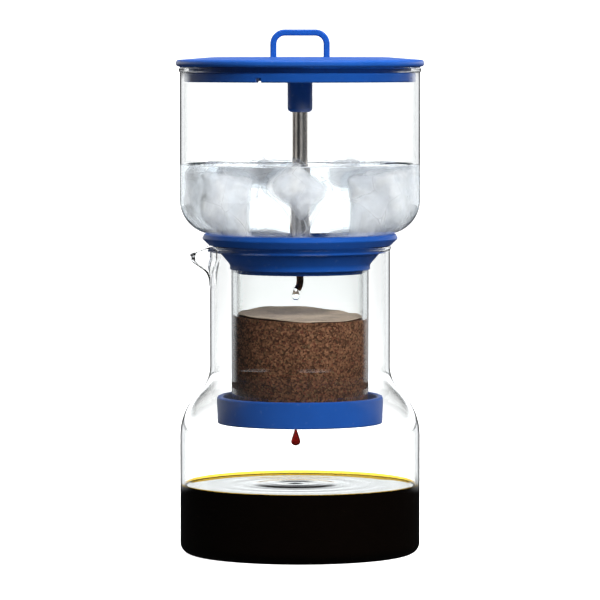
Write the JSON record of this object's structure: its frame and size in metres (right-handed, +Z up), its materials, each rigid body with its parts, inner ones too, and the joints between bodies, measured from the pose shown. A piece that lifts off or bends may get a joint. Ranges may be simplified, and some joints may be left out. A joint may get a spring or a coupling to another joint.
{
  "type": "cold brew coffee maker",
  "caption": "Slow-drip cold brew coffee maker: a lidded glass ice water tank with a turning drip valve, over a glass coffee tube and filter cup set in a pouring carafe.",
  "frame": {"origin": "centre of the carafe's flat foot, on the surface it stands on", "axes": "+Z up through the carafe, coffee tube, valve and tank; -X is where the pouring lip points"},
  "size_m": [0.128, 0.128, 0.2706],
  "materials": {
    "blue_rubber": "satin silicone rubber",
    "clear_rubber": "milky silicone rubber",
    "clear_glass": "clear, fire polished",
    "polished_steel": "polished",
    "brushed_steel": "fine woven and turned",
    "water": "clear liquid",
    "ice": "wet, clear edges and cloudy core",
    "coffee": "dark clear liquid",
    "ground_coffee": "wet granular",
    "wet_paper": "wet creased paper"
  },
  "bodies": {
    "carafe": {"carafe_glass": "clear_glass", "brewed_coffee": "coffee"},
    "chamber": {"chamber_collar": "blue_rubber", "chamber_tube": "clear_glass"},
    "filter": {"filter_cup": "blue_rubber", "filter_rim_ring": "brushed_steel", "filter_mesh": "brushed_steel", "coffee_grounds": "ground_coffee", "paper_filter": "wet_paper", "coffee_drop": "coffee"},
    "tank": {"tank_glass": "clear_glass", "tank_water": "water", "ice_cubes": "ice", "valve_seal": "clear_rubber"},
    "valve": {"valve_stem": "polished_steel", "valve_grip": "blue_rubber", "drip_spout": "polished_steel", "water_drop": "water"},
    "lid": {"lid_cover": "blue_rubber", "lid_handle": "blue_rubber"}
  },
  "joints": [
    {"name": "chamber_lift", "type": "slide", "parent": "carafe", "child": "chamber", "axis": [0, 0, 1], "range_m": [0, 0.12]},
    {"name": "filter_pull", "type": "slide", "parent": "chamber", "child": "filter", "axis": [0, 0, -1], "range_m": [0, 0.012]},
    {"name": "tank_lift", "type": "slide", "parent": "chamber", "child": "tank", "axis": [0, 0, 1], "range_m": [0, 0.04]},
    {"name": "lid_lift", "type": "slide", "parent": "tank", "child": "lid", "axis": [0, 0, 1], "range_m": [0, 0.03]},
    {"name": "valve_turn", "type": "hinge", "parent": "tank", "child": "valve", "pos_m": [0, 0, 0.2], "axis": [0, 0, 1], "continuous": true}
  ]
}
